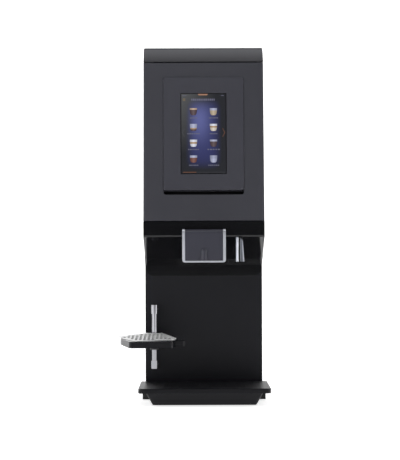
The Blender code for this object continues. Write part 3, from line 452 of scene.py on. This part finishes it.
def glow(across, down):
    """Screen background at a point in mm: a tall blue glow on dark grey, lighter towards the upper left,
    where a painted sheen lightens the grey.
    """
    half_width, height = GLASS_HALF / MM, GLASS_LONG / MM
    a = across / (half_width * 0.80)
    b = (down / height - 0.505) / 0.45
    inside = max(0.0, 1.0 - (abs(a) ** 5 + abs(b) ** 8) ** 0.5)
    soft = inside * inside * (3 - 2 * inside)
    upper = math.exp(-((across + 9) / 24) ** 2 - ((down - 58) / 48) ** 2)
    # Painted sheen: the dark grey lightens towards the upper left
    painted_sheen = max(0.0, 1 - down / (height * 0.75)) * max(0.0, 0.55 - across / half_width)
    blue = [0.036 + 0.085 * upper, 0.040 + 0.095 * upper, 0.125 + 0.21 * upper]
    dark = [0.022 + 0.052 * painted_sheen, 0.023 + 0.053 * painted_sheen, 0.027 + 0.052 * painted_sheen]
    return tuple(d + (c - d) * soft for c, d in zip(blue, dark))


# Tumbler sizes in mm
CUP_HEIGHT = 16.0
CUP_TOP_HALF = 8.1
CUP_LOW_HALF = 5.6
CUP_FOOT_INSET = 1.6
CUP_STEPS = 4


def cup_half(share):
    """Half the tumbler's width, a share of its height below the rim; it tapers and ends in a rounded foot."""
    taper = (CUP_TOP_HALF - CUP_LOW_HALF) * (1 - share ** 2.4)
    foot = CUP_FOOT_INSET * max(0.0, share - 0.9) / 0.1
    return CUP_LOW_HALF + taper - foot


def cup_icon(picture, across, down, layers):
    """Tumbler of drink: layers from the rim down, each a share of its height and a colour."""
    top = down - CUP_HEIGHT / 2
    start = 0.0
    for share, color in layers:
        shade = tuple(c * 0.72 for c in color)
        light = tuple(min(1.0, c * 1.25 + 0.05) for c in color)
        for i in range(CUP_STEPS):
            upper = start + share * i / CUP_STEPS
            lower = start + share * (i + 1) / CUP_STEPS
            for left, right in ((-1, 0), (0, 1)):
                corners = [(across + side * cup_half(level), top + level * CUP_HEIGHT)
                           for side, level in ((left, lower), (right, lower), (right, upper), (left, upper))]
                colors = [shade if side else light for side in (left, right, right, left)]
                picture.patch(corners, colors, ICON_LIFT)
        start += share


CLEAR = (0.36, 0.38, 0.52)
MILK = (0.62, 0.64, 0.72)
FOAM = (0.50, 0.36, 0.26)
BEIGE = (0.42, 0.34, 0.24)
CARAMEL = (0.36, 0.23, 0.12)
COFFEE = (0.075, 0.045, 0.05)
COCOA = (0.16, 0.06, 0.045)
CREAM = (0.60, 0.54, 0.46)
WATER = (0.28, 0.30, 0.42)
DRINKS = [
    [[(0.22, FOAM), (0.78, COFFEE)], [(0.32, CLEAR), (0.68, BEIGE)]],
    [[(0.58, CLEAR), (0.17, CARAMEL), (0.25, COFFEE)], [(0.30, MILK), (0.22, CARAMEL), (0.48, CREAM)]],
    [[(0.34, MILK), (0.24, CARAMEL), (0.42, MILK)], [(0.26, CLEAR), (0.74, COFFEE)]],
    [[(0.32, CLEAR), (0.68, COCOA)], [(0.45, WATER), (0.55, CLEAR)]],
]


def screen_material():
    """Lit screen under a smooth front glass, with its fine pixel grid."""
    paint = Paint("screen_lit", (0.004, 0.004, 0.005), 0.08)
    tint = paint.node("ShaderNodeAttribute")
    tint.attribute_name = "Tint"
    grid = paint.node("ShaderNodeTexBrick", Vector=paint.stretched((1, 1, 1)), Scale=900.0)
    level = paint.remap(grid.outputs["Fac"], 0.92, 0.80, 0.0, 1.0)
    paint.plug(tint.outputs["Color"], paint.shader.inputs["Emission Color"])
    paint.plug(level, paint.shader.inputs["Emission Strength"])
    paint.smudge(14.0, 0.03)
    return paint.mat


# Dark rim of the glass and the picture's edges inside it, in mm
SCREEN_RIM = 1.5
PICTURE_HALF = GLASS_HALF / MM - SCREEN_RIM
PICTURE_FOOT = GLASS_LONG / MM - SCREEN_RIM
GREY = (0.16, 0.16, 0.23)
DIM = (0.15, 0.15, 0.21)
FAINT = (0.045, 0.045, 0.05)
ORANGE = (0.42, 0.22, 0.14)
BROWN = (0.16, 0.075, 0.045)


def glow_grid(picture, columns=22, rows=40):
    """The glow as a grid of patches, a colour to each corner."""
    height = PICTURE_FOOT - SCREEN_RIM
    for i in range(columns):
        left, right = (-PICTURE_HALF + 2 * PICTURE_HALF * k / columns for k in (i, i + 1))
        for j in range(rows):
            top, low = (SCREEN_RIM + height * k / rows for k in (j, j + 1))
            corners = [(left, low), (right, low), (right, top), (left, top)]
            picture.patch(corners, [glow(*corner) for corner in corners], SCREEN_LIFT)


def drinks_menu(picture):
    """Eight cups in two columns, each over a blank caption."""
    first_across, pitch_across = -22.2, 44.0
    first_down, pitch_down, to_caption = 41.6, 35.3, 14.0
    for j, row in enumerate(DRINKS):
        for i, layers in enumerate(row):
            across = first_across + pitch_across * i
            down = first_down + pitch_down * j
            cup_icon(picture, across, down, layers)
            width, count = 17.0 + 4.0 * ((3 * j + 5 * i) % 4), 5 + (j + 2 * i) % 4
            picture.dashes(across, down + to_caption, width, 2.6, count, DIM)


def header(picture):
    """Blank heading and status lines, a tab at the top edge and three bars of a menu button."""
    picture.dashes(-1.0, 14.4, 53.0, 4.4, 13, GREY)
    picture.dashes(-42.0, 5.3, 9.5, 1.6, 4, DIM)
    picture.dashes(41.5, 5.3, 7.0, 1.6, 3, DIM)
    picture.patch([(-10.5, 4.6), (8.0, 4.6), (9.7, 1.6), (-12.5, 1.6)], ORANGE, MARK_LIFT)
    for line in range(3):
        picture.bar(-42.8, 12.4 + 2.0 * line, 5.6, 1.2, (0.20, 0.15, 0.09))


def page_arrows(picture):
    """Thin arrow at each side, the left one dim, as two slanted strokes that meet at its tip."""
    middle, half_height = 88.6, 9.5
    for side, color in ((-1, (0.07, 0.07, 0.08)), (1, BROWN)):
        tip, back = side * 47.5, side * 42.5
        for end in (-1, 1):
            picture.patch([(tip, middle), (back, middle + end * half_height),
                           (back - side * 1.2, middle + end * half_height), (tip - side * 1.6, middle)],
                          color, MARK_LIFT)


def page_bars(picture):
    """Three bars along the foot, the first one lit."""
    down = PICTURE_FOOT - 2.4
    picture.bar(-30.8, down, 29.5, 1.8, BROWN)
    picture.bar(0.6, down, 30.0, 1.4, FAINT)
    picture.bar(31.6, down, 30.0, 1.4, FAINT)


def screen_picture():
    """Drinks menu without writing, all distances in mm on the glass."""
    picture = Picture()
    for draw in (glow_grid, drinks_menu, header, page_arrows, page_bars):
        draw(picture)
    mesh_piece("screen_picture", picture.bm, screen_material(), "door")


# Small parts on the outside

def slot_shade_black():
    """Dull black that hides the back of a slot, painted shade for the dark inside the slot."""
    shade_black = Paint("slot_shade_black", (0.006, 0.006, 0.007), 0.9, specular=0.05)
    shade_black.mottle(40.0, 0.2)
    shade_black.grain(900.0, 0.0001)
    return shade_black.mat


def finger_slot_shade():
    """Dark sheet at the back of the finger slot under the display panel, painted shade for the slot's depth.
    """
    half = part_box("display_panel")[1].x - 0.6 * MM
    top = GLASS_LONG + 36.4 * MM
    foot = top + 9.8 * MM
    depth, thickness = 15.7 * MM, 0.2 * MM
    outline = [(-half, top), (half, top), (half, foot), (-half, foot)]
    # Painted shade: a dull black sheet at the back of the finger slot
    flat_plate("slot_back", outline, on_glass, -depth, thickness - depth, slot_shade_black(), "door")


# Outline of the tongue's nose in mm, as distances right of its middle and behind its front
NOSE_STRIP = [
    (-9.0, 9.0), (-9.0, 4.0), (-8.6, 2.0), (-7.6, 0.7), (-6.2, 0.1), (-4.9, 0.3), (-4.0, 1.0), (-3.6, 2.0),
]
NOSE_GROOVE = [(-3.5, 4.5), (-0.5, 4.5)]
NOSE_FACE = [(-0.4, 2.2), (0.0, 1.2), (1.2, 0.7), (3.6, 0.9), (6.2, 1.6), (8.0, 3.2), (8.9, 5.6), (9.0, 9.0)]
# Heights of the tongue's rings as shares of its length, closer where its top rounds off
TONGUE_RINGS = (0.0, 0.01, 0.2, 0.4, 0.6, 0.76, 0.84, 0.90, 0.95, 0.985, 1.0)
TONGUE_FOOT = 3.4 * MM
TONGUE_ROUNDING = 7 * MM
TONGUE_TOP_DROP = 3.5 * MM
TONGUE_TOP_SLANT = 6.5 * MM
TONGUE_TOP_DEPTH = 9.7 * MM
TONGUE_TAPER = 3.0 * MM
TONGUE_LEAN = 1.0 * MM
TONGUE_LIP = 0.5 * MM
# The tongue's back leaves the upright between these two distances below the top of its box
SEAT_START, SEAT_END = 19.4 * MM, 3 * MM
SEAT_GAP = 0.05 * MM


def tongue_point(across, behind, share, low, high):
    """Point of the tongue, a share of its height up: across from its middle and behind its front.

    Without a depth it lies on the tongue's back, which comes forward under the housing's slanted underside.
    The front leans back as it rises and rounds off at the top, which slants down to the right.
    """
    half = (high.x - low.x) / 2
    foot = low.z + TONGUE_FOOT
    top = high.z - TONGUE_TOP_DROP - TONGUE_TOP_SLANT * ((across + half) / (2 * half)) ** 2
    z = foot + share * (top - foot)
    seat_start, seat_end = high.z - SEAT_START, high.z - SEAT_END
    rise = min(1.0, max(0.0, (z - seat_start) / (seat_end - seat_start)))
    back = high.y + (low.y + TONGUE_TOP_DEPTH - high.y) * rise
    above = min(TONGUE_ROUNDING, max(0.0, z - (top - TONGUE_ROUNDING)))
    setback = TONGUE_ROUNDING - math.sqrt(TONGUE_ROUNDING ** 2 - above ** 2)
    lip = TONGUE_LIP if share == 0.0 else 0.0
    front = low.y + TONGUE_LEAN * (1 - share) + 0.9 * setback + lip
    y = back + SEAT_GAP if behind is None else min(front + behind, back)
    taper = TONGUE_TAPER * max(0.0, across) / half * share
    return Vector(((low.x + high.x) / 2 + across - taper, y, z))


def tongue_slot(i):
    """Material of the face after outline point i: 0 bright strip and back, 1 groove in black for painted
    shade, 2 face in darker plating for painted shade.
    """
    groove_start = len(NOSE_STRIP) - 1
    face_start = len(NOSE_STRIP) + len(NOSE_GROOVE)
    if groove_start <= i < face_start:
        return 1
    if face_start <= i < face_start + len(NOSE_FACE):
        return 2
    return 0


def water_outlet():
    """Tongue of the hot-water outlet: a bright strip, a dark groove and a face that falls away; the groove's
    black and the face's darker plating are painted shade.
    """
    low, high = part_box("hot_water_outlet")
    half = (high.x - low.x) / 2
    outline = [(a * MM, b * MM) for a, b in NOSE_STRIP + NOSE_GROOVE + NOSE_FACE]
    outline += [(half, None), (-half, None)]
    bm = bmesh.new()
    rings = []
    for share in TONGUE_RINGS:
        rings.append([bm.verts.new(tongue_point(a, b, share, low, high)) for a, b in outline])
    for lower, upper in zip(rings, rings[1:]):
        for i in range(len(outline)):
            j = (i + 1) % len(outline)
            bm.faces.new((lower[i], lower[j], upper[j], upper[i])).material_index = tongue_slot(i)
    bm.faces.new(rings[0][::-1])
    bm.faces.new(rings[-1])
    bmesh.ops.recalc_face_normals(bm, faces=bm.faces)
    tongue = mesh_piece("water_outlet_tongue", bm, satin_plated, "machine")
    # Black groove and darker plated face: painted shade
    tongue.data.materials.append(materials["gloss_black"])
    tongue.data.materials.append(painted_shade_plating)
    soften(tongue, 0.0)
    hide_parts("hot_water_outlet")


# Screw head's profile and the depth of its recess, in radii out from its axis and up
SCREW_HEAD = [(1.0, 0.0), (1.0, 0.25), (0.86, 0.48), (0.55, 0.62), (0.0, 0.66)]
SCREW_RECESS = 0.34
SCREW_RADIUS = 2.6 * MM
SCREW_SIDES = 32


def screw(name, place, normal, material, body):
    """Pan-head screw with a cross recess, seated at a point."""
    across = normal.orthogonal().normalized()
    other = normal.cross(across)
    bm = bmesh.new()
    rings = []
    for share, lift in SCREW_HEAD:
        ring = []
        for i in range(SCREW_SIDES if share else 1):
            angle = 2 * math.pi * i / SCREW_SIDES
            on_cross = share == 0.0 or share < 0.6 and abs(math.cos(2 * angle)) > 0.93
            height = lift - SCREW_RECESS if on_cross else lift
            point = across * math.cos(angle) * share + other * math.sin(angle) * share
            ring.append(bm.verts.new(place + (point + normal * height) * SCREW_RADIUS))
        rings.append(ring)
    for low, high in zip(rings, rings[1:]):
        for i in range(SCREW_SIDES):
            j = (i + 1) % SCREW_SIDES
            if len(high) == 1:
                bm.faces.new((low[i], low[j], high[0]))
            else:
                bm.faces.new((low[i], low[j], high[j], high[i]))
    bmesh.ops.recalc_face_normals(bm, faces=bm.faces)
    soften(mesh_piece(name, bm, material, body), 0.0)


def rear_screws():
    """Screws that hold the rear cover, two rows down its edges."""
    low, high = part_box("rear_cover")
    from_end, from_side, count = 25 * MM, 9 * MM, 4
    pitch = (high.z - low.z - 2 * from_end) / (count - 1)
    for side in (-1, 1):
        for i in range(count):
            place = Vector((side * (high.x - from_side), high.y, low.z + from_end + i * pitch))
            screw(f"rear_screw_{side}_{i}", place, Vector((0, 1, 0)), materials["sheet_steel"], "machine")


finger_slot_shade()
screen_picture()
water_outlet()
rear_screws()


# Studio

def area_light(name, place, target, size, power):
    """Soft rectangular lamp aimed at a point."""
    data = bpy.data.lights.new(name, "AREA")
    data.shape = "RECTANGLE"
    data.size, data.size_y = size
    data.energy = power
    lamp = bpy.data.objects.new(name, data)
    lamp.location = place
    lamp.rotation_euler = (Vector(target) - Vector(place)).to_track_quat("-Z", "Y").to_euler()
    bpy.context.scene.collection.objects.link(lamp)


# The backdrop's radii and height in metres, and the sectors in front of the object that have no wall
FLOOR_RADIUS = 4.8
WALL_RADIUS = 5.8
FAR_RADIUS = 16.0
WALL_HEIGHT = 6.0
FLOOR_DROP = 0.0004
SECTORS = 72
OPEN_SECTORS = range(39, 69)


def sweep_profile(is_open):
    """(radius, height) points of one sector from the middle out: flat, or bending up into a wall."""
    if is_open:
        return [(0.0, 0.0), (FLOOR_RADIUS, 0.0), (FAR_RADIUS, 0.0)]
    steps, bend = 8, WALL_RADIUS - FLOOR_RADIUS
    points = [(0.0, 0.0)]
    for step in range(steps + 1):
        angle = math.radians(90 * step / steps)
        points.append((FLOOR_RADIUS + bend * math.sin(angle), bend * (1 - math.cos(angle))))
    return points + [(WALL_RADIUS, WALL_HEIGHT)]


def sweep_paint():
    """Matt white that glows a little, more up the wall and less on the far floor in front."""
    paint = Paint("sweep_white", (0.92, 0.92, 0.92), 0.7)
    paint.set("Emission Color", (1.0, 1.0, 1.0, 1.0))
    rising = paint.remap(paint.axis("Z"), 0.62, 0.95, 0.0, 0.8)
    fading = paint.remap(paint.axis("Y"), 0.4, 1.0, -9.0, -5.0)
    paint.plug(paint.product(rising, fading), paint.shader.inputs["Emission Strength"])
    return paint.mat


def backdrop():
    """White round floor that sweeps up into a wall behind and beside the object and is open in front."""
    bm = bmesh.new()

    def corner(radius, z, turn):
        angle = 2 * math.pi * turn / SECTORS
        return bm.verts.new((radius * math.cos(angle), radius * math.sin(angle), z - FLOOR_DROP))

    for sector in range(SECTORS):
        profile = sweep_profile(sector in OPEN_SECTORS)
        for lower, upper in zip(profile, profile[1:]):
            corners = [corner(*lower, sector + 1), corner(*upper, sector + 1), corner(*upper, sector)]
            if lower[0] > 0.0:
                corners.insert(0, corner(*lower, sector))
            bm.faces.new(corners)
    bmesh.ops.remove_doubles(bm, verts=bm.verts, dist=0.0001)
    mesh = bpy.data.meshes.new("sweep")
    bm.to_mesh(mesh)
    bm.free()
    mesh.shade_smooth()
    mesh.materials.append(sweep_paint())
    sweep = bpy.data.objects.new("sweep", mesh)
    bpy.context.scene.collection.objects.link(sweep)


def studio():
    """Pale sweep, soft lamps and a dim surround."""
    backdrop()
    world = bpy.data.worlds.new("surround")
    world.use_nodes = True
    surround = world.node_tree.nodes["Background"].inputs
    surround["Color"].default_value = (0.9, 0.95, 1.0, 1.0)
    surround["Strength"].default_value = 0.06
    bpy.context.scene.world = world
    middle = (0.0, 0.0, 0.4)
    area_light("lamp_left", (-2.1, -1.7, 1.0), middle, (2.2, 2.2), 26)
    area_light("lamp_right", (2.5, -0.9, 1.0), middle, (0.8, 2.2), 16)
    area_light("lamp_top", (0.0, -1.3, 2.9), (0, 0, 0.3), (2.2, 1.0), 19)


def camera():
    """Level view from the front, a little left of the middle and just under half the machine's height."""
    data = bpy.data.cameras.new("camera")
    data.lens = 122.9
    data.sensor_width = 36.0
    data.shift_x = 0.0160
    data.shift_y = 0.0435
    made = bpy.data.objects.new("camera", data)
    made.location = (-0.0249, -3.575, 0.337)
    made.rotation_euler = (math.radians(90), math.radians(0.19), 0)
    bpy.context.scene.collection.objects.link(made)
    bpy.context.scene.camera = made


studio()
camera()
bpy.context.scene.view_settings.view_transform = "Standard"
